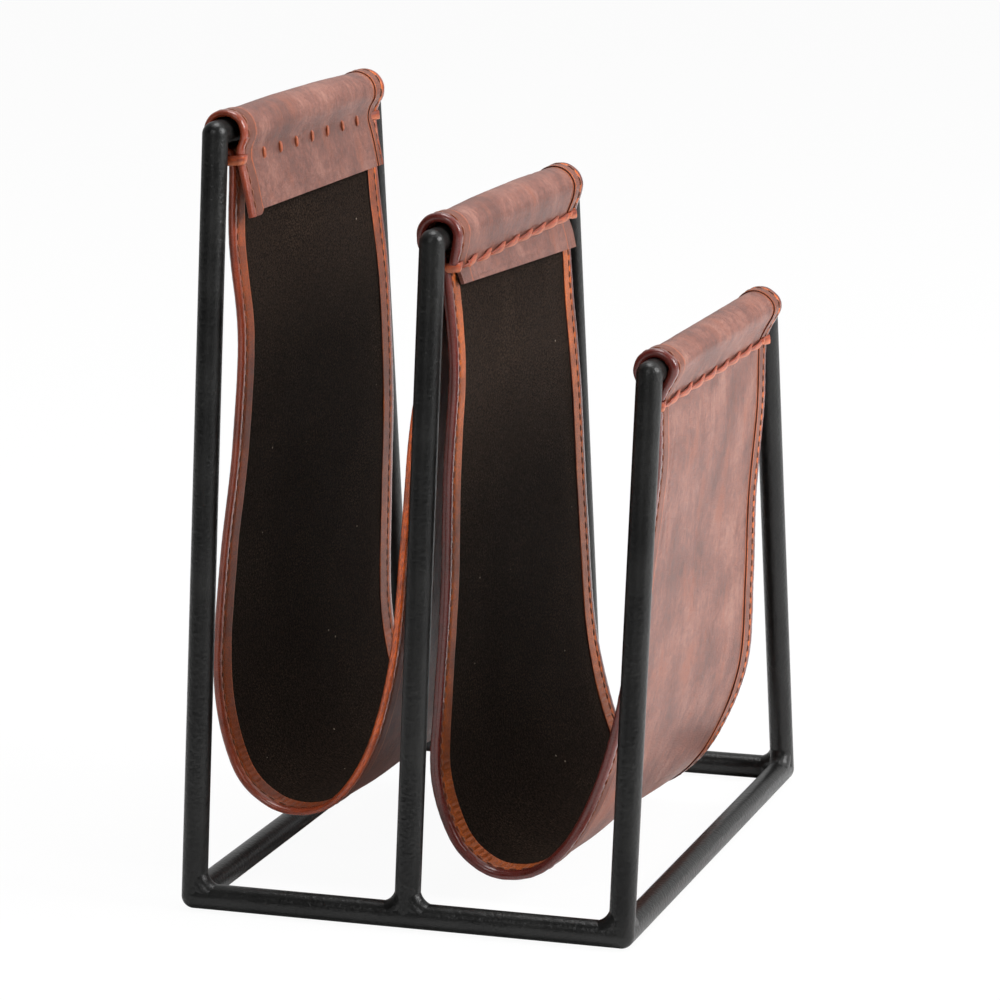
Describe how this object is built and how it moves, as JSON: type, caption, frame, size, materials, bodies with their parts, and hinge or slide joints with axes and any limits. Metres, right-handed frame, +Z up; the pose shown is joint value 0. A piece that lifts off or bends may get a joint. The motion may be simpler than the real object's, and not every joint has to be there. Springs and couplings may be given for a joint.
{
  "type": "magazine rack",
  "caption": "Stepped magazine rack: black round-bar steel frame with tapering posts, carrying lined leather pockets with bound edges, wrapped over the top rails and laced",
  "frame": {"origin": "on the floor, under the middle of the rack", "axes": "+X from the tall side to the short side, +Y from the front posts to the rear posts, +Z up"},
  "size_m": [0.1904, 0.254, 0.3052],
  "materials": {
    "black_steel": "satin black coating with light orange peel, ground welds",
    "outer_leather": "waxed brown leather with fine grain and pale creases",
    "suede_lining": "very dark brown suede, fine pale nap",
    "edge_binding": "orange-brown leather, folded over the edges",
    "sewing_thread": "waxed thread",
    "leather_lace": "flat orange-tan lace, slightly glossy"
  },
  "bodies": {
    "root": {"front_base_rail": "black_steel", "rear_base_rail": "black_steel", "tall_side_base_rail": "black_steel", "short_side_base_rail": "black_steel", "tall_front_post": "black_steel", "tall_rear_post": "black_steel", "tall_top_rail": "black_steel", "middle_front_post": "black_steel", "middle_rear_post": "black_steel", "middle_top_rail": "black_steel", "short_front_post": "black_steel", "short_rear_post": "black_steel", "short_top_rail": "black_steel", "base_corner_welds": "black_steel", "middle_foot_welds": "black_steel", "tall_pocket_leather": "outer_leather", "tall_pocket_lining": "suede_lining", "tall_pocket_front_binding": "edge_binding", "tall_pocket_rear_binding": "edge_binding", "tall_pocket_front_stitching": "sewing_thread", "tall_pocket_rear_stitching": "sewing_thread", "short_pocket_leather": "outer_leather", "short_pocket_lining": "suede_lining", "short_pocket_front_binding": "edge_binding", "short_pocket_rear_binding": "edge_binding", "short_pocket_front_stitching": "sewing_thread", "short_pocket_rear_stitching": "sewing_thread", "tall_lacing": "leather_lace", "middle_lacing": "leather_lace", "short_lacing": "leather_lace"}
  },
  "joints": []
}
